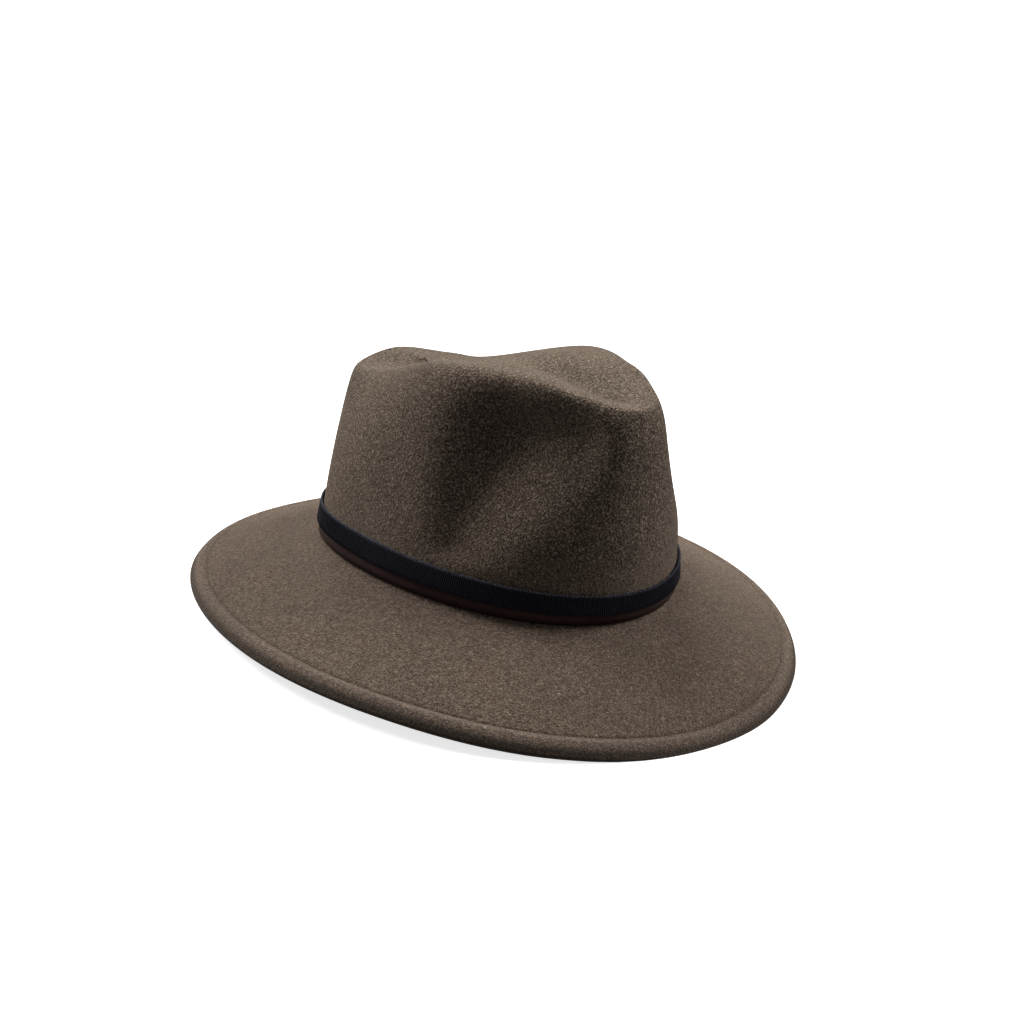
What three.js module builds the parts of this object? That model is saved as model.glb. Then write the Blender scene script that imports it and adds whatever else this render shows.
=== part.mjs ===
// A wool felt fedora with a teardrop crease, side pinches and a leather and ribbon band.
// Millimetres, +Z up. The front of the hat looks along -Y and the hat stands on its brim.
import * as THREE from 'three';

// Crown: the foot oval is the outside of the felt just above the brim.
const CROWN_LENGTH = 209.4;
const CROWN_BREADTH = 176.0;
const CROWN_HEIGHT = 114.6;
const CREASE_DEPTH = 9.4;
const FELT = 2.0;

// Brim: its width is level from the foot oval, its drop is from there to the middle of its edge.
const BRIM_WIDTH = 69.6;
const BRIM_DROP = 41.3;
const FOOT_WAVE = 3.2;
const WELT_WIDTH = 12.5;
const WELT_STEP = 1.2;
const WELT_THICKNESS = 4.4;
const REST_PRESS = 1.6;
const LIP_FLAT = 1.2;

// Pinch at each side of the front: it fades out above and below its deepest height, and
// it is gone over this much of the wall just above the band.
const PINCH_DEPTH = 24.5;
const PINCH_LENGTH = 95.8;
const PINCH_ABOVE = 21.3;
const PINCH_BELOW = 44.6;
const PINCH_FOOT = 8;

// Hat band.
const GAP = 0.3;
const LEATHER = 1.0;
const LEATHER_RISE = 15.4;
const RIBBON = 1.0;
const RIBBON_RISE = 10.6;
const BAND_RISE = 16.6;

// Stations around the hat and steps along each stretch of a section.
const STATIONS = 72;
const CREASE_STEPS = 6;
const WALL_STEPS = 12;
const BRIM_STEPS = 6;
const EDGE_STEPS = 4;

// Rows every 30 degrees from the front round to the back; the other side mirrors them.
// reach: the rim's distance from the middle plane, a share of half the crown's breadth.
// along: the rim's place from front to back, a share of half the crown's length.
// rise: the rim's height, a share of the crown's height.
// shoulder: how square the wall turns over into the rim. lean: the wall's slope at its foot.
// dip: how far the crease sinks under the rim, a share of its depth.
// drop: how far the brim edge hangs, a share of the brim's drop.
const ROWS = [
  { reach: 0.000, along: -0.932, rise: 0.903, shoulder: 1.14, lean: -0.14, dip: 0.26, drop: 1.000 },
  { reach: 0.315, along: -0.700, rise: 0.947, shoulder: 0.54, lean: -0.03, dip: 0.66, drop: 0.870 },
  { reach: 0.416, along: -0.448, rise: 0.974, shoulder: 0.54, lean: 0.21, dip: 0.93, drop: 0.685 },
  { reach: 0.535, along: -0.019, rise: 0.941, shoulder: 0.38, lean: 0.27, dip: 0.30, drop: 0.613 },
  { reach: 0.414, along: 0.598, rise: 0.760, shoulder: 0.40, lean: 0.06, dip: -0.12, drop: 0.592 },
  { reach: 0.360, along: 0.859, rise: 0.726, shoulder: 0.62, lean: 0.15, dip: -0.18, drop: 0.646 },
  { reach: 0.000, along: 0.935, rise: 0.762, shoulder: 1.10, lean: 0.05, dip: 0.00, drop: 0.705 },
];

// The crease floor's length, a share of the rim's.
const CREASE_LENGTH = 0.728;

// How far up the wall keeps its slope, a share of its height, and how far the felt stays
// level past the rim and at the crease floor, shares of the way between them.
const WALL_STRAIGHT = 0.528;
const RIM_LEVEL = 0.76;
const FLOOR_LEVEL = 0.26;

// Pinch centre as shares of half the length and of the crown's height, its slant, how much
// narrower it gets down the crown, and its reach behind the centre, a share of that in front.
const PINCH_ALONG = -0.488;
const PINCH_HEIGHT = 0.716;
const PINCH_SLANT = 0.083;
const PINCH_TAPER = 1.19;
const PINCH_REAR = 0.4;

// The pinch starts this far from the middle plane and is whole this much further out,
// both as shares of half the breadth.
const PINCH_FROM = 0.103;
const PINCH_FADE = 0.375;

// How much of the brim's fall comes evenly; the rest gathers towards the edge.
const BRIM_EVEN = 0.75;

const TAU = Math.PI * 2;

function around(column, angle, sideways = false) {
  const last = ROWS.length - 1;
  const steps = last * 2;
  const turn = ((angle / TAU) % 1 + 1) % 1 * steps;
  const start = Math.floor(turn);
  const share = turn - start;
  const value = (offset) => {
    const row = (start + offset + steps) % steps;
    const mirrored = row > last;
    const number = ROWS[mirrored ? steps - row : row][column];
    return mirrored && sideways ? -number : number;
  };
  const [a, b, c, d] = [value(-1), value(0), value(1), value(2)];
  const bend = share * (2 * a - 5 * b + 4 * c - d + share * (3 * b - a - 3 * c + d));
  return b + 0.5 * share * (c - a + bend);
}

function smooth(share) {
  const held = Math.min(1, Math.max(0, share));
  return held * held * (3 - 2 * held);
}

function curvePoint(points, share) {
  const curve = new THREE.CubicBezierCurve3(...points);
  return curve.getPoint(share);
}

function footHeight(angle) {
  return -FOOT_WAVE * Math.cos(2 * angle);
}

function footPoint(angle) {
  const x = -CROWN_BREADTH / 2 * Math.sin(angle);
  const y = -CROWN_LENGTH / 2 * Math.cos(angle);
  return new THREE.Vector3(x, y, footHeight(angle));
}

function outward(angle) {
  const x = -Math.sin(angle) / CROWN_BREADTH;
  const y = -Math.cos(angle) / CROWN_LENGTH;
  return new THREE.Vector3(x, y, 0).normalize();
}

function rimPoint(angle) {
  const x = -CROWN_BREADTH / 2 * around('reach', angle, true);
  const y = CROWN_LENGTH / 2 * around('along', angle);
  return new THREE.Vector3(x, y, CROWN_HEIGHT * around('rise', angle));
}

function creasePoint(angle) {
  const rim = rimPoint(angle);
  return new THREE.Vector3(0, rim.y * CREASE_LENGTH, rim.z - CREASE_DEPTH * around('dip', angle));
}

// The wall rises from the foot, leans in and turns level at the rim.
function wallCurve(angle) {
  const foot = footPoint(angle);
  const rim = rimPoint(angle);
  const inward = new THREE.Vector3(rim.x - foot.x, rim.y - foot.y, 0);
  const climb = inward.clone().normalize().multiplyScalar(around('lean', angle));
  climb.z = 1;
  const lower = foot.clone().addScaledVector(climb, rim.z * WALL_STRAIGHT);
  const upper = rim.clone().addScaledVector(inward, -around('shoulder', angle));
  return [foot, lower, upper, rim];
}

// Past the rim the felt turns down into the crease and is level again at its floor.
function creaseCurve(angle) {
  const rim = rimPoint(angle);
  const floor = creasePoint(angle);
  const across = new THREE.Vector3(floor.x - rim.x, floor.y - rim.y, 0);
  const upper = rim.clone().addScaledVector(across, RIM_LEVEL);
  const lower = floor.clone().addScaledVector(across, -FLOOR_LEVEL);
  return [rim, upper, lower, floor];
}

function pinched(point) {
  const over = point.z - CROWN_HEIGHT * PINCH_HEIGHT;
  const along = CROWN_LENGTH / 2 * PINCH_ALONG - PINCH_SLANT * over;
  const reach = PINCH_LENGTH / 2 * (1 + PINCH_TAPER * over / CROWN_HEIGHT);
  const offAlong = (point.y - along) / (point.y > along ? reach * PINCH_REAR : reach);
  const offHeight = over / (over > 0 ? PINCH_ABOVE : PINCH_BELOW);
  const clear = smooth((point.z - BAND_RISE - FOOT_WAVE) / PINCH_FOOT);
  const strength = clear * Math.exp(-(offAlong ** 2) - offHeight ** 2);
  const side = Math.abs(point.x) / (CROWN_BREADTH / 2);
  const push = PINCH_DEPTH * strength * smooth((side - PINCH_FROM) / PINCH_FADE);
  point.x -= Math.sign(point.x) * push;
  return point;
}

// The outside of the crown wall at a height above the foot line.
function wallAtHeight(angle, rise) {
  const curve = wallCurve(angle);
  let low = 0;
  let high = 1;
  for (let pass = 0; pass < 30; pass += 1) {
    const middle = (low + high) / 2;
    const above = curvePoint(curve, middle).z > curve[0].z + rise;
    if (above) high = middle;
    else low = middle;
  }
  return pinched(curvePoint(curve, low));
}

const BAND_SEAT = GAP + LEATHER;

function brimPoint(angle, share) {
  const width = BRIM_WIDTH - WELT_THICKNESS / 2;
  const reach = BAND_SEAT + share * (width - BAND_SEAT);
  const start = footHeight(angle) - BAND_SEAT;
  const end = WELT_THICKNESS / 2 - WELT_STEP - BRIM_DROP * around('drop', angle);
  const fall = share * (BRIM_EVEN + (1 - BRIM_EVEN) * share);
  const point = footPoint(angle).addScaledVector(outward(angle), reach);
  point.z = start + (end - start) * fall;
  return point;
}

// The top side of the felt at one station, from the crease floor out to the brim edge.
// Each entry has the point, the felt's thickness there and its lift over the plain brim.
function topSection(angle) {
  const section = [];
  const crease = creaseCurve(angle);
  for (let step = CREASE_STEPS; step > 0; step -= 1) {
    section.push({ point: pinched(curvePoint(crease, step / CREASE_STEPS)), thickness: FELT, lift: 0 });
  }
  const wall = wallCurve(angle);
  for (let step = WALL_STEPS; step > 0; step -= 1) {
    section.push({ point: pinched(curvePoint(wall, step / WALL_STEPS)), thickness: FELT, lift: 0 });
  }
  section.push({ point: footPoint(angle), thickness: FELT, lift: 0 });
  const weltStart = 1 - (WELT_WIDTH - WELT_THICKNESS / 2) / BRIM_WIDTH;
  const weltRamp = WELT_STEP / BRIM_WIDTH;
  for (let step = 0; step < BRIM_STEPS; step += 1) {
    const share = weltStart * step / BRIM_STEPS;
    section.push({ point: brimPoint(angle, share), thickness: FELT, lift: 0 });
  }
  section.push({ point: brimPoint(angle, weltStart - weltRamp), thickness: FELT, lift: 0 });
  const folded = WELT_THICKNESS;
  section.push({ point: brimPoint(angle, weltStart + weltRamp), thickness: folded, lift: WELT_STEP });
  section.push({ point: brimPoint(angle, (1 + weltStart) / 2), thickness: folded, lift: WELT_STEP });
  section.push({ point: brimPoint(angle, 1 - LIP_FLAT / BRIM_WIDTH), thickness: folded, lift: WELT_STEP });
  section.push({ point: brimPoint(angle, 1), thickness: folded, lift: WELT_STEP });
  return section;
}

// The hat tips until its front and back lips stand level, and the felt is pressed flat there.
function lipHeight(angle) {
  return -BRIM_DROP * around('drop', angle) - WELT_THICKNESS / 2;
}

const LIP_REACH = CROWN_LENGTH / 2 + BRIM_WIDTH - WELT_THICKNESS / 2;
const PITCH = Math.atan2(lipHeight(Math.PI) - lipHeight(0), LIP_REACH * 2);
const SIDEWAYS = new THREE.Vector3(1, 0, 0);
const FRONT_LIP = new THREE.Vector3(0, -LIP_REACH, lipHeight(0)).applyAxisAngle(SIDEWAYS, -PITCH);

function settled(point) {
  const turned = point.clone().applyAxisAngle(SIDEWAYS, -PITCH);
  turned.z = Math.max(0, turned.z - FRONT_LIP.z - REST_PRESS);
  return turned;
}

function solid(name, points, faces, material) {
  const geometry = new THREE.BufferGeometry();
  const numbers = points.flatMap((point) => settled(point).toArray());
  geometry.setAttribute('position', new THREE.Float32BufferAttribute(numbers, 3));
  geometry.setIndex(faces);
  geometry.computeVertexNormals();
  const mesh = new THREE.Mesh(geometry, material);
  mesh.name = name;
  return mesh;
}

function quad(faces, a, b, c, d) {
  faces.push(a, b, c, a, c, d);
}

function feltBody(material) {
  const sections = [];
  for (let station = 0; station < STATIONS; station += 1) {
    sections.push(topSection(TAU * station / STATIONS));
  }
  const rings = sections[0].length;
  // The first ring folds shut onto the crease floor, so mirrored stations share a point.
  const place = (ring, station) => {
    const turn = (station + STATIONS) % STATIONS;
    return ring * STATIONS + (ring === 0 ? Math.min(turn, STATIONS - turn) : turn);
  };
  const top = [];
  for (let ring = 0; ring < rings; ring += 1) {
    for (let station = 0; station < STATIONS; station += 1) top.push(sections[station][ring]);
  }
  const sheetFaces = [];
  for (let ring = 0; ring < rings - 1; ring += 1) {
    for (let station = 0; station < STATIONS; station += 1) {
      const [a, b] = [place(ring, station), place(ring, station + 1)];
      const [c, d] = [place(ring + 1, station + 1), place(ring + 1, station)];
      quad(sheetFaces, a, b, c, d);
    }
  }
  const sheet = new THREE.BufferGeometry();
  const flat = top.flatMap((entry) => entry.point.toArray());
  sheet.setAttribute('position', new THREE.Float32BufferAttribute(flat, 3));
  sheet.setIndex(sheetFaces);
  sheet.computeVertexNormals();
  const normals = sheet.getAttribute('normal');
  const points = [];
  const normalAt = (index) => new THREE.Vector3().fromBufferAttribute(normals, index);
  top.forEach((entry, index) => {
    points.push(entry.point.clone().addScaledVector(normalAt(index), entry.lift));
  });
  const count = top.length;
  top.forEach((entry, index) => {
    points.push(points[index].clone().addScaledVector(normalAt(index), -entry.thickness));
  });
  const faces = [...sheetFaces];
  for (let face = 0; face < sheetFaces.length; face += 3) {
    const [a, b, c] = sheetFaces.slice(face, face + 3);
    faces.push(a + count, c + count, b + count);
  }
  // The rounded brim edge.
  const edgeRings = [];
  for (let step = 0; step <= EDGE_STEPS; step += 1) {
    const ring = [];
    for (let station = 0; station < STATIONS; station += 1) {
      const index = place(rings - 1, station);
      if (step === 0) ring.push(index);
      else if (step === EDGE_STEPS) ring.push(index + count);
      else {
        const swing = Math.PI * step / EDGE_STEPS;
        const normal = normalAt(index);
        const radius = WELT_THICKNESS / 2;
        const point = points[index].clone().addScaledVector(normal, radius * (Math.cos(swing) - 1));
        point.addScaledVector(outward(TAU * station / STATIONS), radius * Math.sin(swing));
        ring.push(points.length);
        points.push(point);
      }
    }
    edgeRings.push(ring);
  }
  for (let step = 0; step < EDGE_STEPS; step += 1) {
    for (let station = 0; station < STATIONS; station += 1) {
      const next = (station + 1) % STATIONS;
      const [from, to] = [edgeRings[step], edgeRings[step + 1]];
      quad(faces, from[station], from[next], to[next], to[station]);
    }
  }
  return solid('felt_body', points, faces, material);
}

// A closed band round the crown between two heights over the foot line.
function band(name, inset, thickness, bottom, top, material) {
  const points = [];
  const faces = [];
  for (let station = 0; station < STATIONS; station += 1) {
    const angle = TAU * station / STATIONS;
    const out = outward(angle);
    const low = wallAtHeight(angle, bottom);
    const high = wallAtHeight(angle, top);
    points.push(low.clone().addScaledVector(out, inset));
    points.push(low.clone().addScaledVector(out, inset + thickness));
    points.push(high.clone().addScaledVector(out, inset + thickness));
    points.push(high.clone().addScaledVector(out, inset));
  }
  for (let station = 0; station < STATIONS; station += 1) {
    const here = station * 4;
    const next = (station + 1) % STATIONS * 4;
    for (let corner = 0; corner < 4; corner += 1) {
      const after = (corner + 1) % 4;
      quad(faces, here + corner, here + after, next + after, next + corner);
    }
  }
  return solid(name, points, faces, material);
}

const wool = new THREE.MeshStandardMaterial({ color: 0x5d5044, roughness: 0.95, metalness: 0 });
const leather = new THREE.MeshStandardMaterial({ color: 0x35221b, roughness: 0.45, metalness: 0 });
const ribbon = new THREE.MeshStandardMaterial({ color: 0x15161c, roughness: 0.8, metalness: 0 });

const hat = new THREE.Group();
hat.add(feltBody(wool));
hat.add(band('leather_band', GAP, LEATHER, GAP, LEATHER_RISE, leather));
hat.add(band('grosgrain_ribbon', GAP * 2 + LEATHER, RIBBON, BAND_RISE - RIBBON_RISE, BAND_RISE, ribbon));

// The hat stands over the middle of its own outline.
const box = new THREE.Box3().setFromObject(hat);
hat.position.y = -(box.min.y + box.max.y) / 2;

export default hat;
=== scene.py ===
# A wool felt fedora with a leather and grosgrain band, on a plain pale floor.
# Metres, +Z up. The front of the hat looks along -Y.
import math

import bmesh
import bpy
import numpy as np
from mathutils import Matrix, Vector


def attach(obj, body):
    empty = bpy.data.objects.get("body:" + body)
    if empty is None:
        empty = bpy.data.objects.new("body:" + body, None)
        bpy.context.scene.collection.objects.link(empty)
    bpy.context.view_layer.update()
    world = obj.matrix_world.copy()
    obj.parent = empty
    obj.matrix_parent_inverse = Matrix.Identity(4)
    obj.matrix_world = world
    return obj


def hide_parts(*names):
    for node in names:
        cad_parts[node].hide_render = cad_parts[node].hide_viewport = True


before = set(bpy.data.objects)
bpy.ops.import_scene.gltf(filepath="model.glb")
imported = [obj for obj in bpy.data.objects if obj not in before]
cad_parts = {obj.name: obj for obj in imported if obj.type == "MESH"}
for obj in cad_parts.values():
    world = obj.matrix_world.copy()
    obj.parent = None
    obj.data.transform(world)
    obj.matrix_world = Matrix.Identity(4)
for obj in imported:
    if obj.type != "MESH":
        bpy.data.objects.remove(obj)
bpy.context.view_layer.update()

MM = 0.001
TAU = math.tau

# Crown: the foot oval is the outside of the felt just above the brim.
CROWN_LENGTH = 209.4 * MM
CROWN_BREADTH = 176.0 * MM
CROWN_HEIGHT = 114.6 * MM
CREASE_DEPTH = 9.4 * MM
CREASE_LENGTH = 0.728
WALL_STRAIGHT = 0.528
RIM_LEVEL = 0.76
FLOOR_LEVEL = 0.26
FELT = 2.0 * MM

# Brim and its turned-over edge.
BRIM_WIDTH = 69.6 * MM
BRIM_DROP = 41.3 * MM
BRIM_EVEN = 0.75
FOOT_WAVE = 3.2 * MM
WELT_WIDTH = 9.5 * MM
WELT_STEP = 1.2 * MM
WELT_BLEND = 3 * MM
WELT_THICKNESS = 4.4 * MM
REST_PRESS = 1.6 * MM

# The turned edge is a soft roll: its top falls this much over this width, down to a round
# nose, whose start is found from the roll's slope there.
EDGE_FALL = 2.4 * MM
EDGE_ROUND = 6 * MM
EDGE_RADIUS = 2.4 * MM
EDGE_TURN = math.atan2(2 * EDGE_FALL, EDGE_ROUND)
EDGE_INSET = EDGE_RADIUS * (1 - math.sin(EDGE_TURN))

# The seam where the turned strip ends is a shallow groove. Underneath, the fold's thickness
# begins this far inside the seam and is full after this width.
SEAM_DEPTH = 0.35 * MM
SEAM_WIDTH = 0.5 * MM
SEAM_REACH = 2.4 * MM
FOLD_LEAD = 2 * MM
FOLD_BLEND = 4 * MM

# Painted shade darkens the edge over its nose, fading out on top and further in underneath.
EDGE_SHADE_TOP = 4.8 * MM
EDGE_SHADE_UNDER = 12 * MM
EDGE_SHADE_FADE = 3 * MM

# Pinch at each side of the front.
PINCH_DEPTH = 24.5 * MM
PINCH_LENGTH = 95.8 * MM
PINCH_ABOVE = 21.3 * MM
PINCH_BELOW = 44.6 * MM
PINCH_FOOT = 8 * MM
PINCH_ALONG = -0.488
PINCH_HEIGHT = 0.716
PINCH_SLANT = 0.083
PINCH_TAPER = 1.19
PINCH_REAR = 0.4
PINCH_FROM = 0.103
PINCH_FADE = 0.375

# Hat band.
GAP = 0.3 * MM
LEATHER = 1.0 * MM
LEATHER_RISE = 15.4 * MM
RIBBON = 1.0 * MM
RIBBON_RISE = 10.6 * MM
BAND_RISE = 16.6 * MM
BAND_SEAT = GAP + LEATHER

# The leather ends under the ribbon, this far below its full rise. The rows that hold the darker
# lower edge's colour stand this far from its two edges.
LEATHER_HIDDEN = 1.5 * MM
DARK_EDGE_ROW_TOP = 4 * MM
DARK_EDGE_ROW_FOOT = 1.6 * MM

# The ribbon's top lies nearer to the felt than its foot. Its ribs stand proud of its ground,
# begin a little inside its two edges and fill this share of their spacing.
RIBBON_TOP_GAP = GAP + 0.6 * MM
RIB_PROUD = 0.35 * MM
RIB_PITCH = 1.15 * MM
RIB_FOOT = 0.15 * MM
RIB_HEAD = 0.05 * MM
RIB_SHARE = 0.82

# Rows every 30 degrees from the front round to the back, as shares of the sizes above:
# the rim of the crown, the crease under it and the fall of the brim's edge.
ROWS = [
    dict(reach=0.000, along=-0.932, rise=0.903, shoulder=1.14, lean=-0.14, dip=0.26, drop=1.000),
    dict(reach=0.315, along=-0.700, rise=0.947, shoulder=0.54, lean=-0.03, dip=0.66, drop=0.870),
    dict(reach=0.416, along=-0.448, rise=0.974, shoulder=0.54, lean=0.21, dip=0.93, drop=0.685),
    dict(reach=0.535, along=-0.019, rise=0.941, shoulder=0.38, lean=0.27, dip=0.30, drop=0.613),
    dict(reach=0.414, along=0.598, rise=0.760, shoulder=0.40, lean=0.06, dip=-0.12, drop=0.592),
    dict(reach=0.360, along=0.859, rise=0.726, shoulder=0.62, lean=0.15, dip=-0.18, drop=0.646),
    dict(reach=0.000, along=0.935, rise=0.762, shoulder=1.10, lean=0.05, dip=0.00, drop=0.705),
]

# Flecks of lint and darker fibre on the brim, where the hat has them: the angle round from
# the front, how far in from the brim's outermost line, the length and the turn on the felt.
LINT = [
    dict(angle=28.5, inset=30.2 * MM, length=1.6 * MM, turn=20),
    dict(angle=22.6, inset=10.5 * MM, length=1.5 * MM, turn=-35),
    dict(angle=41.6, inset=6.8 * MM, length=1.3 * MM, turn=-60),
]
DARK_FIBRES = [
    dict(angle=115.1, inset=33.8 * MM, length=2.0 * MM, turn=10),
    dict(angle=109.7, inset=37.8 * MM, length=2.2 * MM, turn=30),
    dict(angle=107.1, inset=35.2 * MM, length=1.8 * MM, turn=15),
]
FLECK_WIDTH = 0.55 * MM
FLECK_TIP = 0.05

# The felt's slope under a fleck is found from points this far in and this far round.
SLOPE_INSET = 1 * MM
SLOPE_TURN = 0.01

# Steps of the meshes: round the hat, along the felt from the crease outward, over a band's
# edges, along a fleck and round it, and along a rib and round it.
STATIONS = 240
CREASE_STEPS = 20
WALL_STEPS = 64
BRIM_STEPS = 36
SEAM_STEPS = 12
ROLL_STEPS = 13
EDGE_STEPS = 12
BAND_EDGE_STEPS = 5
FLECK_RINGS = 6
FLECK_SIDES = 6
RIB_SEGMENTS = 6
RIB_SIDES = 8
ANGLES = TAU * np.arange(STATIONS) / STATIONS

# Steps of the line along which the ribs are spaced, and how often the search for a height
# on the crown's wall halves its range.
LINE_STEPS = 2400
HEIGHT_TRIES = 30

# Points closer than this are one point, and a shorter direction counts as none.
WELD = 0.001 * MM
TINY = 1e-12

# Felt: the sizes of its grain, tufts and broad patches, the heights between which the lower felt's
# grain passes into the crown's stronger grain with painted highlights and shade, and how deep its
# relief is.
FELT_GRAIN = 0.9 * MM
FELT_TUFTS = 2.3 * MM
FELT_PATCHES = 26 * MM
FELT_RELIEF = 1.6 * MM
UPPER_GRAIN_FROM = 52 * MM
UPPER_GRAIN_FULL = 78 * MM

# How strongly each tone shows on the felt, from none at 0 to alone at 1.
LOWER_GRAIN_TUFTS = 0.65
UPPER_GRAIN_TUFTS = 0.55
PATCH_SHARE = 0.5
SEAM_SHARE = 0.5
STRIP_SHARE = 0.14
# The painted shade on the brim's edge.
EDGE_SHADE_SHARE = 0.7

# Leather and ribbon: the sizes of their pores, clouding and threads, and their relief.
LEATHER_PORES = 0.7 * MM
LEATHER_CLOUD = 9 * MM
LEATHER_RELIEF = 0.15 * MM
RIBBON_THREADS = 0.7 * MM
RIBBON_RELIEF = 0.2 * MM

# Camera, as the photograph was taken: close, from in front and towards -X, rolled a little.
CAMERA_AZIMUTH = math.radians(-42.49)
CAMERA_ELEVATION = math.radians(20.59)
CAMERA_ROLL = math.radians(6.66)
CAMERA_DISTANCE = 0.9
CAMERA_AIM = Vector((0.0014, -0.0071, 0.0589))
CAMERA_LENS = 59.58
CAMERA_SENSOR = 36
CAMERA_NEAR = 0.05
CAMERA_FAR = 100

# Half the side of the floor, and its own glow, which keeps the shadow on it faint.
FLOOR_REACH = 60
FLOOR_GLOW = 0.75

# Light: strength from all round, and the lamps' energies and directions from the middle.
# Two wide lamps stand behind the hat and one at its front right.
WORLD_LIGHT = 0.155
LAMP_SPREAD = math.radians(35)
LAMPS = (
    ("back_left", 2.63, (-0.293, 0.708, 0.643)),
    ("back_right", 1.70, (0.293, 0.708, 0.643)),
    ("front_right", 2.41, (0.708, -0.293, 0.643)),
)


def around(column, angle, sideways=False):
    """A column of the rows at any angle, on a smooth closed curve."""
    half = [row[column] for row in ROWS]
    back = [-value if sideways else value for value in half[-2:0:-1]]
    ring = np.array(half + back)
    turn = (np.asarray(angle) / TAU % 1.0) * len(ring)
    start = np.floor(turn).astype(int)
    share = turn - start
    a, b, c, d = (ring[(start + step) % len(ring)] for step in (-1, 0, 1, 2))
    bend = share * (2 * a - 5 * b + 4 * c - d + share * (3 * b - a - 3 * c + d))
    return b + 0.5 * share * (c - a + bend)


def smooth(share):
    """Eases from 0 to 1 and stays there."""
    held = np.clip(share, 0, 1)
    return held * held * (3 - 2 * held)


def points(x, y, z):
    """Points from numbers or arrays of their three coordinates."""
    return np.stack(np.broadcast_arrays(x, y, z), axis=-1).astype(float)


def foot_points(angle):
    """Where the crown meets the brim: an oval that rises at the front and back."""
    x = -CROWN_BREADTH / 2 * np.sin(angle)
    y = -CROWN_LENGTH / 2 * np.cos(angle)
    return points(x, y, -FOOT_WAVE * np.cos(2 * angle))


def outward(angle):
    """Level directions square to the foot oval."""
    out = points(-np.sin(angle) / CROWN_BREADTH, -np.cos(angle) / CROWN_LENGTH, 0)
    return out / np.linalg.norm(out, axis=-1, keepdims=True)


def rim_points(angle):
    """The crown's rim, round which the felt turns down into the crease."""
    x = -CROWN_BREADTH / 2 * around("reach", angle, sideways=True)
    y = CROWN_LENGTH / 2 * around("along", angle)
    return points(x, y, CROWN_HEIGHT * around("rise", angle))


def crease_points(angle):
    """The crease floor, a line on the hat's middle plane."""
    rim = rim_points(angle)
    floor = rim[..., 2] - CREASE_DEPTH * around("dip", angle)
    return points(0, rim[..., 1] * CREASE_LENGTH, floor)


def cubic(curve, share):
    """A point on a Bezier curve."""
    a, b, c, d = curve
    left = 1 - share
    return left**3 * a + 3 * left**2 * share * b + 3 * left * share**2 * c + share**3 * d


def level(vector):
    """The same vector with no height."""
    flat = vector.copy()
    flat[..., 2] = 0
    return flat


def wall_curve(angle):
    """The wall rises from the foot, leans in and turns level at the rim."""
    foot = foot_points(angle)
    rim = rim_points(angle)
    inward = level(rim - foot)
    climb = inward / np.linalg.norm(inward, axis=-1, keepdims=True)
    climb = climb * around("lean", angle)[..., None]
    climb[..., 2] = 1
    lower = foot + climb * rim[..., 2:] * WALL_STRAIGHT
    upper = rim - inward * around("shoulder", angle)[..., None]
    return foot, lower, upper, rim


def crease_curve(angle):
    """Past the rim the felt turns down into the crease and is level again at its floor."""
    rim = rim_points(angle)
    floor = crease_points(angle)
    across = level(floor - rim)
    return rim, rim + across * RIM_LEVEL, floor - across * FLOOR_LEVEL, floor


def pinched(place):
    """Pushes both sides of the crown in where fingers hold it, but never at the band."""
    x, y, z = place[..., 0], place[..., 1], place[..., 2]
    over = z - CROWN_HEIGHT * PINCH_HEIGHT
    along = CROWN_LENGTH / 2 * PINCH_ALONG - PINCH_SLANT * over
    reach = PINCH_LENGTH / 2 * (1 + PINCH_TAPER * over / CROWN_HEIGHT)
    off_along = (y - along) / np.where(y > along, reach * PINCH_REAR, reach)
    off_height = over / np.where(over > 0, PINCH_ABOVE, PINCH_BELOW)
    clear = smooth((z - BAND_RISE - FOOT_WAVE) / PINCH_FOOT)
    strength = clear * np.exp(-(off_along**2) - off_height**2)
    side = np.abs(x) / (CROWN_BREADTH / 2)
    push = PINCH_DEPTH * strength * smooth((side - PINCH_FROM) / PINCH_FADE)
    return points(x - np.sign(x) * push, y, z)


def wall_at_height(angle, rise):
    """The outside of the crown wall at a height above the foot line."""
    curve = wall_curve(angle)
    low = np.zeros_like(angle)
    high = np.ones_like(angle)
    for _ in range(HEIGHT_TRIES):
        middle = (low + high) / 2
        above = cubic(curve, middle[:, None])[:, 2] > curve[0][:, 2] + rise
        high = np.where(above, middle, high)
        low = np.where(above, low, middle)
    return pinched(cubic(curve, low[:, None]))


def brim_points(angle, inset):
    """The brim at a distance in from its outermost line; it falls faster further out."""
    full = BRIM_WIDTH - WELT_THICKNESS / 2 - BAND_SEAT
    share = 1 - (inset - WELT_THICKNESS / 2) / full
    reach = BAND_SEAT + share * full
    foot = foot_points(angle)
    place = foot + outward(angle) * reach
    start = foot[:, 2] - BAND_SEAT
    end = WELT_THICKNESS / 2 - WELT_STEP - BRIM_DROP * around("drop", angle)
    place[:, 2] = start + (end - start) * share * (BRIM_EVEN + (1 - BRIM_EVEN) * share)
    return place


# The hat tips until its front and back lips stand level, and the felt is pressed flat there.
LIP_REACH = CROWN_LENGTH / 2 + BRIM_WIDTH - WELT_THICKNESS / 2
FRONT_DROP = -BRIM_DROP * ROWS[0]["drop"] - WELT_THICKNESS / 2
BACK_DROP = -BRIM_DROP * ROWS[-1]["drop"] - WELT_THICKNESS / 2
PITCH = math.atan2(BACK_DROP - FRONT_DROP, LIP_REACH * 2)
TIP = Matrix.Rotation(-PITCH, 3, "X")
LIP = TIP @ Vector((0, -LIP_REACH, FRONT_DROP))
BACK_LIP = TIP @ Vector((0, LIP_REACH, BACK_DROP))
CENTRE_SHIFT = -(LIP.y + BACK_LIP.y) / 2


def settled(place):
    """Points of the upright hat where they are once it rests on the floor."""
    turned = place @ np.array(TIP).T
    turned[..., 1] += CENTRE_SHIFT
    turned[..., 2] = np.maximum(0, turned[..., 2] - LIP.z - REST_PRESS)
    return turned


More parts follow.
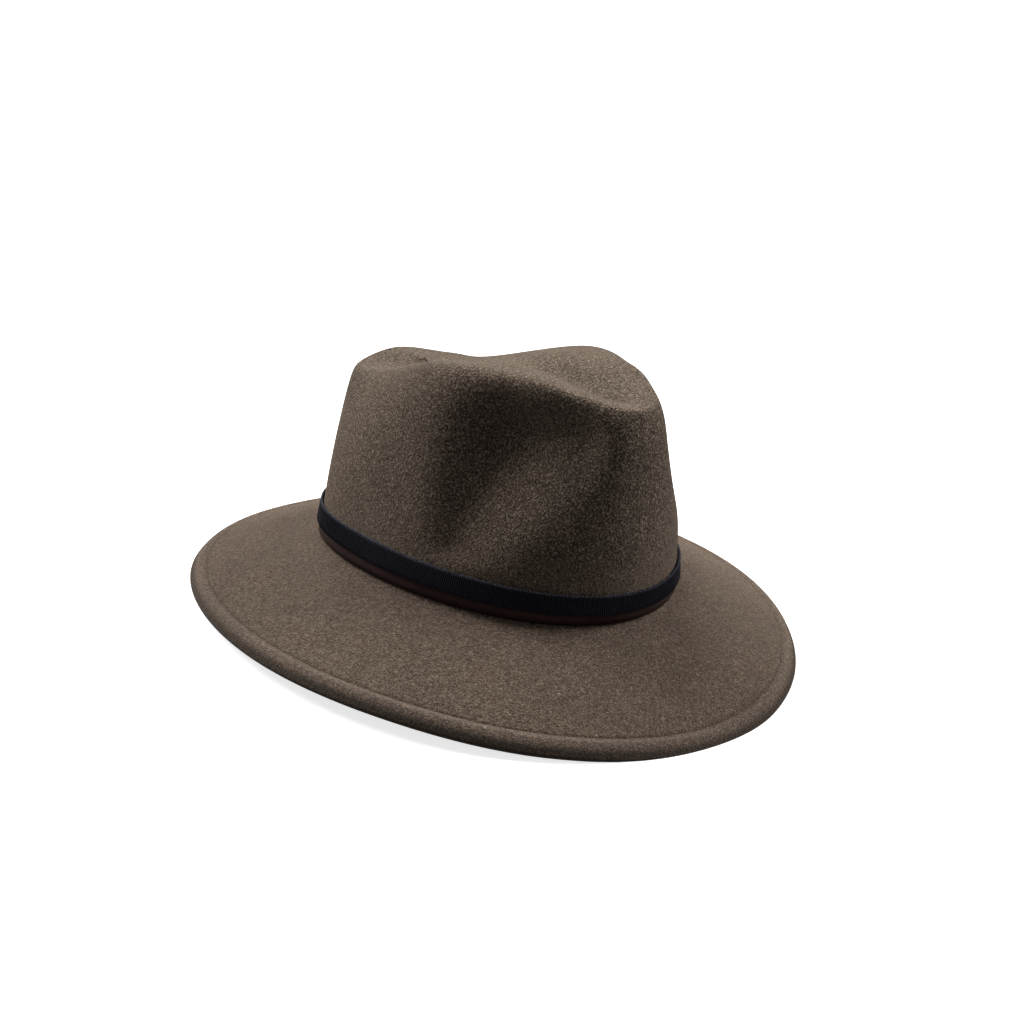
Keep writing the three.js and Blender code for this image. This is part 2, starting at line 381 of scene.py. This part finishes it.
def make_object(name, place, faces, material, **marks):
    """A smooth mesh object; each mark is a number kept at every point for the material."""
    mesh = bpy.data.meshes.new(name)
    mesh.from_pydata([tuple(point) for point in place], [], faces)
    for key, values in marks.items():
        layer = mesh.attributes.new(key, "FLOAT", "POINT")
        layer.data.foreach_set("value", np.asarray(values, dtype=np.float32).ravel())
    mesh.materials.append(material)
    mesh.shade_smooth()
    mesh.update()
    piece = bpy.data.objects.new(name, mesh)
    bpy.context.scene.collection.objects.link(piece)
    return piece


def linear(code):
    """A colour such as 6b5b4d as the linear numbers that a shader takes."""
    values = [int(code[place:place + 2], 16) / 255 for place in (0, 2, 4)]
    return [v / 12.92 if v <= 0.04045 else ((v + 0.055) / 1.055) ** 2.4 for v in values] + [1.0]


def add(tree, kind, inputs=None, **settings):
    """Adds a node; an input is given a value, or a link from another node's output."""
    node = tree.nodes.new(kind)
    for setting, value in settings.items():
        setattr(node, setting, value)
    for name, value in (inputs or {}).items():
        socket = node.inputs[name]
        if isinstance(value, bpy.types.NodeSocket):
            tree.links.new(value, socket)
        else:
            socket.default_value = value
    return node


def new_material(name, **shader):
    """A material, its node tree and its Principled shader, set as the keywords say."""
    material = bpy.data.materials.new(name)
    material.use_nodes = True
    tree = material.node_tree
    surface = tree.nodes["Principled BSDF"]
    for socket, value in shader.items():
        surface.inputs[socket.replace("_", " ")].default_value = value
    return material, tree, surface


def noise(tree, coords, size, detail=3.0, roughness=0.5, distortion=0.0):
    """Noise whose lumps are about the given size across."""
    inputs = {"Vector": coords, "Scale": 1 / size, "Detail": detail,
              "Roughness": roughness, "Distortion": distortion}
    return add(tree, "ShaderNodeTexNoise", inputs).outputs["Fac"]


def ramp(tree, value, *stops):
    """A colour ramp through pairs of a place and a colour code."""
    node = add(tree, "ShaderNodeValToRGB", {"Fac": value})
    while len(node.color_ramp.elements) < len(stops):
        node.color_ramp.elements.new(0.5)
    for element, (place, code) in zip(node.color_ramp.elements, stops):
        element.position = place
        element.color = linear(code)
    return node.outputs["Color"]


def mix(tree, share, first, second, blend="MIX"):
    """Two colours mixed; the node's colour inputs are its seventh and eighth."""
    node = add(tree, "ShaderNodeMix", {0: share, 6: first, 7: second},
               data_type="RGBA", blend_type=blend)
    return node.outputs[2]


def maths(tree, operation, first, second):
    """Two values joined by an operation such as ADD."""
    return add(tree, "ShaderNodeMath", {0: first, 1: second}, operation=operation).outputs[0]


def span(tree, value, low, high, new_low, new_high):
    """A value carried from one range to another and held inside it."""
    inputs = {"Value": value, "From Min": low, "From Max": high,
              "To Min": new_low, "To Max": new_high}
    return add(tree, "ShaderNodeMapRange", inputs).outputs["Result"]


def mark(tree, name):
    """A number that make_object kept at every point."""
    return add(tree, "ShaderNodeAttribute", attribute_name=name).outputs["Fac"]


def tinted(tree, colour, name, share, code):
    """Brings a colour code in where the named mark is, at most as strongly as the share."""
    return mix(tree, maths(tree, "MULTIPLY", mark(tree, name), share), colour, linear(code))


def relief(tree, surface, height, strength, distance):
    """Gives the shader a bumpy normal."""
    inputs = {"Strength": strength, "Distance": distance, "Height": height}
    bump = add(tree, "ShaderNodeBump", inputs)
    tree.links.new(bump.outputs["Normal"], surface.inputs["Normal"])


def felt_material():
    """Brushed wool felt: short matted fibres, soft mottling and a pale bloom of loose ends, with
    painted shade on the brim's edge and painted highlights and shade in the crown's grain.
    """
    material, tree, surface = new_material(
        "wool_felt", Roughness=0.95, Specular_IOR_Level=0.1,
        Sheen_Weight=0.4, Sheen_Roughness=0.5, Sheen_Tint=linear("c4b3a2"))
    coords = add(tree, "ShaderNodeTexCoord").outputs["Object"]
    grain = noise(tree, coords, FELT_GRAIN, detail=2, roughness=0.6, distortion=0.3)
    tufts = noise(tree, coords, FELT_TUFTS, detail=2, roughness=0.55, distortion=0.4)
    patches = noise(tree, coords, FELT_PATCHES, detail=3, roughness=0.5)
    tuft_tone = ramp(tree, tufts, (0.34, "b4ada6"), (0.66, "ffffff"))
    lower_grain = ramp(tree, grain, (0.30, "463b34"), (0.50, "6f6055"), (0.70, "998a7b"))
    lower_grain = mix(tree, LOWER_GRAIN_TUFTS, lower_grain, tuft_tone, "MULTIPLY")
    # Higher up, the crown's grain has stronger lights and darks: painted highlights on fibre tips
    # and painted shade between them.
    upper_grain_painted_light = ramp(tree, grain, (0.30, "302722"), (0.50, "62554a"), (0.70, "b4a494"))
    upper_grain_painted_light = mix(tree, UPPER_GRAIN_TUFTS, upper_grain_painted_light, tuft_tone, "MULTIPLY")
    rise = add(tree, "ShaderNodeSeparateXYZ", {"Vector": coords}).outputs["Z"]
    colour = mix(tree, span(tree, rise, UPPER_GRAIN_FROM, UPPER_GRAIN_FULL, 0.0, 1.0), lower_grain, upper_grain_painted_light)
    patch_tone = ramp(tree, patches, (0.32, "d8ccc6"), (0.50, "f0ece0"), (0.68, "fff4ea"))
    colour = mix(tree, PATCH_SHARE, colour, patch_tone, "MULTIPLY")
    colour = tinted(tree, colour, "seam", SEAM_SHARE, "3a3028")
    colour = tinted(tree, colour, "welt", STRIP_SHARE, "94867a")
    # Painted shade over the edge's nose and the underside next to it.
    colour = tinted(tree, colour, "painted_edge_shade", EDGE_SHADE_SHARE, "2b2520")
    tree.links.new(colour, surface.inputs["Base Color"])
    fine = maths(tree, "MULTIPLY", grain, 0.8)
    coarse = maths(tree, "MULTIPLY", tufts, 0.4)
    relief(tree, surface, maths(tree, "ADD", fine, coarse), 1.0, FELT_RELIEF)
    return material


def leather_material():
    """Smooth brown leather, darker along its lower edge."""
    material, tree, surface = new_material(
        "brown_leather", Specular_IOR_Level=0.3, Specular_Tint=linear("ffc6c2"))
    coords = add(tree, "ShaderNodeTexCoord").outputs["Object"]
    pores = noise(tree, coords, LEATHER_PORES, detail=3, roughness=0.6)
    cloud = noise(tree, coords, LEATHER_CLOUD, detail=2)
    colour = ramp(tree, cloud, (0.30, "2d1f1e"), (0.70, "3a2826"))
    edge = ramp(tree, mark(tree, "across"), (0.08, "14100f"), (0.24, "ffffff"))
    colour = mix(tree, 1.0, colour, edge, "MULTIPLY")
    tree.links.new(colour, surface.inputs["Base Color"])
    tree.links.new(span(tree, pores, 0.3, 0.7, 0.33, 0.45), surface.inputs["Roughness"])
    relief(tree, surface, pores, 0.25, LEATHER_RELIEF)
    return material


def fibre_material(name, code):
    """Loose cotton or wool fibre, quite matte."""
    material, _, surface = new_material(name, Roughness=0.9, Specular_IOR_Level=0.1)
    surface.inputs["Base Color"].default_value = linear(code)
    return material


def ribbon_material():
    """Black grosgrain with a blue cast; painted highlights on the loops along its top edge."""
    material, tree, surface = new_material(
        "black_grosgrain", Roughness=0.75, Specular_IOR_Level=0.15, Sheen_Weight=0.04,
        Sheen_Roughness=0.4, Sheen_Tint=linear("8a8fa4"))
    coords = add(tree, "ShaderNodeTexCoord").outputs["Object"]
    threads = noise(tree, coords, RIBBON_THREADS, detail=3, roughness=0.7)
    colour = ramp(tree, threads, (0.34, "16161c"), (0.58, "23232c"), (0.80, "42424e"))
    # Painted highlights along the top edge, on the loops and the ribs' tops.
    edges = ramp(tree, mark(tree, "across"), (0.86, "000000"), (0.97, "50505a"))
    loops = ramp(tree, threads, (0.42, "000000"), (0.62, "ffffff"))
    edges = mix(tree, 1.0, edges, loops, "MULTIPLY")
    colour = mix(tree, 0.8, colour, edges, "ADD")
    tree.links.new(colour, surface.inputs["Base Color"])
    relief(tree, surface, threads, 0.4, RIBBON_RELIEF)
    return material


def grid_faces(rings, stations, first=0):
    """Four-sided faces between closed rings of points."""
    faces = []
    for ring in range(rings - 1):
        here = first + ring * stations
        for station in range(stations):
            after = (station + 1) % stations
            faces.append((here + station, here + after,
                          here + stations + after, here + stations + station))
    return faces


def sheet_normals(sheet):
    """Upward and outward directions of the felt's top side, which starts at the crease floor."""
    side = np.roll(sheet, -1, axis=1) - np.roll(sheet, 1, axis=1)
    down = np.gradient(sheet, axis=0)
    normals = np.cross(side, down)
    normals /= np.maximum(np.linalg.norm(normals, axis=-1, keepdims=True), TINY)
    # On the middle plane the two sides' directions are averaged.
    mirrored = np.roll(normals[1, ::-1], 1, axis=0)
    normals[0] = normals[1] + mirrored
    normals[0, :, 0] = 0
    normals[0] /= np.linalg.norm(normals[0], axis=-1, keepdims=True)
    return normals


def felt_sheet():
    """The felt's top side in rings, from the crease floor out to the start of the nose, and
    each ring's distance in from the brim's outermost line."""
    rings = []
    crease = crease_curve(ANGLES)
    for step in range(CREASE_STEPS, 0, -1):
        rings.append(pinched(cubic(crease, step / CREASE_STEPS)))
    wall = wall_curve(ANGLES)
    for step in range(WALL_STEPS, 0, -1):
        rings.append(pinched(cubic(wall, step / WALL_STEPS)))
    rings.append(foot_points(ANGLES))
    crown = np.full(len(rings), BRIM_WIDTH)
    # Open steps over the brim, close ones over the seam, and then over the roll.
    seam_zone = np.linspace(WELT_WIDTH + SEAM_REACH, WELT_WIDTH - SEAM_REACH, SEAM_STEPS + 1)
    open_brim = np.linspace(BRIM_WIDTH - BAND_SEAT, seam_zone[0], BRIM_STEPS, endpoint=False)
    turned = np.linspace(seam_zone[-1], EDGE_INSET, ROLL_STEPS + 1)[1:]
    brim = np.concatenate([open_brim, seam_zone, turned])
    for inset in brim:
        rings.append(brim_points(ANGLES, inset))
    return np.array(rings), np.concatenate([crown, brim])


def round_nose(last_ring, up):
    """The brim's edge, from the end of the roll round to its underside."""
    out = outward(ANGLES)
    centre = last_ring - (up * math.cos(EDGE_TURN) + out * math.sin(EDGE_TURN)) * EDGE_RADIUS
    rings = []
    for step in range(1, EDGE_STEPS + 1):
        swing = EDGE_TURN + (math.pi - EDGE_TURN) * step / EDGE_STEPS
        rings.append(centre + (up * math.cos(swing) + out * math.sin(swing)) * EDGE_RADIUS)
    return np.array(rings)


def felt_body(material):
    """Crown, brim and turned edge as one closed felt wall."""
    sheet, inset = felt_sheet()
    normals = sheet_normals(sheet)
    strip = smooth((WELT_WIDTH - inset) / WELT_BLEND)
    groove = np.exp(-(((inset - WELT_WIDTH) / SEAM_WIDTH) ** 2))
    roll = np.clip(1 - (inset - EDGE_INSET) / EDGE_ROUND, 0, 1) ** 2
    lift = WELT_STEP * strip - SEAM_DEPTH * groove - EDGE_FALL * roll
    fold = smooth((WELT_WIDTH + FOLD_LEAD - inset) / FOLD_BLEND)
    thick = FELT + (WELT_THICKNESS - FELT) * fold
    nose_thickness = EDGE_RADIUS * (1 + math.cos(EDGE_TURN))
    thick = thick + (nose_thickness - WELT_THICKNESS) * roll - SEAM_DEPTH * groove
    top = sheet + normals * lift[:, None, None]
    nose = round_nose(top[-1], normals[-1])
    # The nose ends further in than the outermost two rings under it, so they are left off.
    under = (top - normals * thick[:, None, None])[-3::-1]
    under_inset = inset[-3::-1]
    place = np.concatenate([top, nose, under])
    whole = np.ones(len(nose))
    marks = {
        "seam": np.concatenate([groove, np.zeros(len(nose) + len(under))]),
        "welt": np.concatenate([strip, whole, np.zeros(len(under))]),
        # Painted shade over the edge's nose, fading out on top and further in underneath.
        "painted_edge_shade": np.concatenate([smooth((EDGE_SHADE_TOP - inset) / EDGE_SHADE_FADE), whole,
                                  smooth((EDGE_SHADE_UNDER - under_inset) / EDGE_SHADE_FADE)]),
    }
    marks = {key: np.repeat(values, STATIONS) for key, values in marks.items()}
    faces = grid_faces(len(place), STATIONS)
    piece = make_object("felt_hat", settled(place.reshape(-1, 3)), faces, material, **marks)
    weld_creases(piece)
    return piece


def weld_creases(piece):
    """Joins the mirrored points along the crease floor, on both sides of the felt."""
    mesh = bmesh.new()
    mesh.from_mesh(piece.data)
    bmesh.ops.remove_doubles(mesh, verts=mesh.verts[:], dist=WELD)
    bmesh.ops.recalc_face_normals(mesh, faces=mesh.faces[:])
    mesh.to_mesh(piece.data)
    mesh.free()
    piece.data.shade_smooth()


def brim_top(angle, inset):
    """A point on top of the settled brim, the welt's step included."""
    place = brim_points(np.array([angle]), inset)
    place[:, 2] += WELT_STEP * smooth((WELT_WIDTH - inset) / WELT_BLEND)
    return Vector(settled(place)[0])


def flecks(name, table, material):
    """Each fleck is a small spindle of fibre that lies on the felt."""
    place = []
    faces = []
    for fleck in table:
        angle = math.radians(fleck["angle"])
        centre = brim_top(angle, fleck["inset"])
        inward = (brim_top(angle, fleck["inset"] + SLOPE_INSET) - centre).normalized()
        sideways = (brim_top(angle + SLOPE_TURN, fleck["inset"]) - centre).normalized()
        up = sideways.cross(inward).normalized()
        if up.z < 0:
            up = -up
        long_way = Matrix.Rotation(math.radians(fleck["turn"]), 3, up) @ sideways
        across = up.cross(long_way)
        first = len(place)
        for ring in range(FLECK_RINGS + 1):
            swing = math.pi * ring / FLECK_RINGS
            slice_centre = centre + long_way * (-fleck["length"] / 2 * math.cos(swing))
            radius = FLECK_WIDTH / 2 * max(math.sin(swing), FLECK_TIP)
            for side in range(FLECK_SIDES):
                turn = TAU * side / FLECK_SIDES
                away = across * math.cos(turn) + up * math.sin(turn)
                place.append(slice_centre + away * radius)
        faces += grid_faces(FLECK_RINGS + 1, FLECK_SIDES, first)
        last = first + FLECK_RINGS * FLECK_SIDES
        faces.append(tuple(first + side for side in range(FLECK_SIDES)))
        faces.append(tuple(last + side for side in reversed(range(FLECK_SIDES))))
    return make_object(name, place, faces, material)


def rounded_profile(bottom, top, inner_low, inner_high, thickness):
    """A band's cross-section with half-round edges, from the inner foot up, over and down.
    Each row is a rise above the foot line and a distance out from the wall."""
    radius = thickness / 2
    rows = []
    for step in range(BAND_EDGE_STEPS + 1):
        swing = math.pi * step / BAND_EDGE_STEPS
        away = radius - radius * math.cos(swing)
        rows.append((top - radius + radius * math.sin(swing), inner_high + away))
    for step in range(BAND_EDGE_STEPS + 1):
        swing = math.pi * step / BAND_EDGE_STEPS
        away = radius + radius * math.cos(swing)
        rows.append((bottom + radius - radius * math.sin(swing), inner_low + away))
    return rows


def closed_band(name, profile, bottom, top, material):
    """The profile carried round the crown; the mark across runs from foot 0 to top 1."""
    out = outward(ANGLES)
    rings = np.array([wall_at_height(ANGLES, rise) + out * away for rise, away in profile])
    across = [(rise - bottom) / (top - bottom) for rise, away in profile]
    faces = grid_faces(len(profile), STATIONS)
    last = (len(profile) - 1) * STATIONS
    for station in range(STATIONS):
        after = (station + 1) % STATIONS
        faces.append((last + station, last + after, after, station))
    return make_object(name, settled(rings.reshape(-1, 3)), faces, material,
                       across=np.repeat(across, STATIONS))


def leather_band(material):
    """The leather on the crown's foot, with its top hidden under the ribbon."""
    low = GAP
    high = LEATHER_RISE - LEATHER_HIDDEN
    profile = rounded_profile(low, high, GAP, GAP, LEATHER)
    outer = [(high - DARK_EDGE_ROW_TOP, BAND_SEAT), (low + DARK_EDGE_ROW_FOOT, BAND_SEAT)]
    half = len(profile) // 2
    profile = profile[:half] + outer + profile[half:]
    return closed_band("leather_hat_band", profile, low, high, material)


def ribbon_band(material):
    """The ribbon's ground and, over it, one upright rib for each thread of its weave."""
    low = BAND_RISE - RIBBON_RISE
    foot_gap = BAND_SEAT + GAP
    ground = RIBBON - RIB_PROUD
    profile = rounded_profile(low, BAND_RISE, foot_gap, RIBBON_TOP_GAP, ground)
    base = closed_band("grosgrain_ground", profile, low, BAND_RISE, material)
    ribs = rib_row(material, low, foot_gap + ground, RIBBON_TOP_GAP + ground)
    return base, ribs


def rib_places(low, away_low, away_high):
    """A point for each rib, spaced evenly along the band, with the turn that leans the rib
    with the wall behind it; returns them and the ribs' length."""
    fine = np.linspace(0, TAU, LINE_STEPS + 1)
    line = foot_points(fine) + outward(fine) * away_low
    run = np.concatenate([[0], np.cumsum(np.linalg.norm(np.diff(line, axis=0), axis=1))])
    count = round(run[-1] / RIB_PITCH)
    angle = np.interp(np.arange(count) * run[-1] / count, run, fine)
    out = outward(angle)
    bottom = settled(wall_at_height(angle, low + RIB_FOOT) + out * away_low)
    top = settled(wall_at_height(angle, BAND_RISE - RIB_HEAD) + out * away_high)
    middle = (bottom + top) / 2
    turns = []
    lengths = []
    for start, end, facing in zip(bottom, top, out):
        up = Vector(end - start)
        lengths.append(up.length)
        side = up.cross(Vector(facing)).normalized()
        up.normalize()
        front = up.cross(side)
        turns.append(Matrix((side, front, up)).transposed().to_euler())
    mesh = bpy.data.meshes.new("rib_places")
    mesh.from_pydata([tuple(point) for point in middle], [], [])
    turn = mesh.attributes.new("turn", "FLOAT_VECTOR", "POINT")
    turn.data.foreach_set("vector", np.array([tuple(t) for t in turns], dtype=np.float32).ravel())
    return mesh, float(np.mean(lengths))


def rib_tree(material):
    """Stands a rib on each point; the mark across runs up it from 0 to 1."""
    tree = bpy.data.node_groups.new("rib_row", "GeometryNodeTree")
    tree.interface.new_socket("Geometry", in_out="INPUT", socket_type="NodeSocketGeometry")
    tree.interface.new_socket("Geometry", in_out="OUTPUT", socket_type="NodeSocketGeometry")
    length = tree.interface.new_socket("Rib length", in_out="INPUT", socket_type="NodeSocketFloat")
    width = tree.interface.new_socket("Rib width", in_out="INPUT", socket_type="NodeSocketFloat")
    given = add(tree, "NodeGroupInput")
    # One rib is a cylinder 1 across and 1 tall about the middle, before it is sized.
    inputs = {"Vertices": RIB_SIDES, "Side Segments": RIB_SEGMENTS, "Radius": 0.5, "Depth": 1.0}
    rib = add(tree, "GeometryNodeMeshCylinder", inputs).outputs["Mesh"]
    spot = add(tree, "GeometryNodeInputPosition").outputs["Position"]
    tall = add(tree, "ShaderNodeSeparateXYZ", {"Vector": spot}).outputs["Z"]
    inputs = {"Geometry": rib, "Name": "across", "Value": maths(tree, "ADD", tall, 0.5)}
    marked = add(tree, "GeometryNodeStoreNamedAttribute", inputs,
                 data_type="FLOAT", domain="POINT")
    inputs = {"X": given.outputs["Rib width"], "Y": given.outputs["Rib width"],
              "Z": given.outputs["Rib length"]}
    size = add(tree, "ShaderNodeCombineXYZ", inputs).outputs["Vector"]
    inputs = {"Geometry": marked.outputs["Geometry"], "Scale": size}
    sized = add(tree, "GeometryNodeTransform", inputs).outputs["Geometry"]
    turn = add(tree, "GeometryNodeInputNamedAttribute", {"Name": "turn"}, data_type="FLOAT_VECTOR")
    inputs = {"Euler": turn.outputs["Attribute"]}
    rotation = add(tree, "FunctionNodeEulerToRotation", inputs).outputs["Rotation"]
    inputs = {"Points": given.outputs["Geometry"], "Instance": sized, "Rotation": rotation}
    row = add(tree, "GeometryNodeInstanceOnPoints", inputs).outputs["Instances"]
    real = add(tree, "GeometryNodeRealizeInstances", {"Geometry": row}).outputs["Geometry"]
    shaded = add(tree, "GeometryNodeSetShadeSmooth", {"Geometry": real}).outputs["Geometry"]
    inputs = {"Geometry": shaded, "Material": material}
    painted = add(tree, "GeometryNodeSetMaterial", inputs).outputs["Geometry"]
    add(tree, "NodeGroupOutput", {"Geometry": painted})
    return tree, length, width


def rib_row(material, low, away_low, away_high):
    """The row of ribs that covers the ribbon's ground."""
    mesh, rib_length = rib_places(low, away_low, away_high)
    row = bpy.data.objects.new("grosgrain_ribs", mesh)
    bpy.context.scene.collection.objects.link(row)
    tree, length, width = rib_tree(material)
    modifier = row.modifiers.new("rib_row", "NODES")
    modifier.node_group = tree
    modifier[length.identifier] = rib_length
    modifier[width.identifier] = RIB_PITCH * RIB_SHARE
    return made_plain(row)


def made_plain(piece):
    """Turns what the modifiers make into the object's own mesh."""
    bpy.context.view_layer.update()
    graph = bpy.context.evaluated_depsgraph_get()
    mesh = bpy.data.meshes.new_from_object(piece.evaluated_get(graph))
    piece.modifiers.clear()
    piece.data = mesh
    return piece


def make_camera():
    """Looks at the hat as the photograph does."""
    data = bpy.data.cameras.new("camera")
    data.lens = CAMERA_LENS
    data.sensor_width = CAMERA_SENSOR
    data.clip_start = CAMERA_NEAR
    data.clip_end = CAMERA_FAR
    camera = bpy.data.objects.new("camera", data)
    bpy.context.scene.collection.objects.link(camera)
    flat = math.cos(CAMERA_ELEVATION)
    back = Vector((math.sin(CAMERA_AZIMUTH) * flat, -math.cos(CAMERA_AZIMUTH) * flat,
                   math.sin(CAMERA_ELEVATION)))
    camera.location = CAMERA_AIM + back * CAMERA_DISTANCE
    turn = back.to_track_quat("Z", "Y").to_matrix()
    roll = Matrix.Rotation(CAMERA_ROLL, 3, "Z")
    camera.rotation_euler = (turn @ roll).to_euler()
    bpy.context.scene.camera = camera


def make_lamp(name, energy, direction):
    """A wide, distant light that shines from the given direction."""
    data = bpy.data.lights.new(name, "SUN")
    data.energy = energy
    data.angle = LAMP_SPREAD
    light = bpy.data.objects.new(name, data)
    light.location = direction
    light.rotation_euler = Vector(direction).to_track_quat("Z", "Y").to_euler()
    bpy.context.scene.collection.objects.link(light)


def make_world():
    """Soft light from all round; past the floor's far end only plain white is seen."""
    world = bpy.data.worlds.new("studio")
    world.use_nodes = True
    tree = world.node_tree
    tree.nodes.clear()
    light = add(tree, "ShaderNodeBackground", {"Color": linear("f4f6fa"), "Strength": WORLD_LIGHT})
    white = add(tree, "ShaderNodeBackground", {"Color": linear("ffffff"), "Strength": 1.0})
    seen = add(tree, "ShaderNodeLightPath")
    both = add(tree, "ShaderNodeMixShader", {0: seen.outputs["Is Camera Ray"],
                                             1: light.outputs["Background"],
                                             2: white.outputs["Background"]})
    add(tree, "ShaderNodeOutputWorld", {"Surface": both.outputs["Shader"]})
    bpy.context.scene.world = world


def make_floor():
    """A pale floor with a glow of its own; it throws no light up onto the hat."""
    material, _, surface = new_material("pale_floor", Roughness=0.9, Emission_Strength=FLOOR_GLOW,
                                        Emission_Color=linear("ffffff"))
    surface.inputs["Base Color"].default_value = linear("f2f1ef")
    mesh = bpy.data.meshes.new("floor")
    half = FLOOR_REACH
    corners = [(-half, -half, 0), (half, -half, 0), (half, half, 0), (-half, half, 0)]
    mesh.from_pydata(corners, [], [(0, 1, 2, 3)])
    mesh.materials.append(material)
    floor = bpy.data.objects.new("floor", mesh)
    bpy.context.scene.collection.objects.link(floor)
    floor.visible_diffuse = False
    floor.visible_glossy = False


def make_studio():
    """The floor, the light from all round and the lamps, seen without a film look."""
    make_floor()
    make_world()
    for name, energy, direction in LAMPS:
        make_lamp(name, energy, direction)
    bpy.context.scene.view_settings.view_transform = "Standard"


make_camera()
make_studio()
felt = felt_body(felt_material())
leather = leather_band(leather_material())
ground, ribs = ribbon_band(ribbon_material())
white_lint = flecks("lint_flecks", LINT, fibre_material("white_lint", "cfc4b4"))
dark_lint = flecks("dark_fibres", DARK_FIBRES, fibre_material("dark_fibre", "3a2a22"))

for piece, node, slot in ((felt, "felt_body", "felt"), (leather, "leather_band", "leather"),
                          (ground, "grosgrain_ribbon", "ribbon"),
                          (ribs, "grosgrain_ribbon", "ribbon")):
    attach(piece, "root")
    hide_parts(node)

for piece in (white_lint, dark_lint):
    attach(piece, "root")
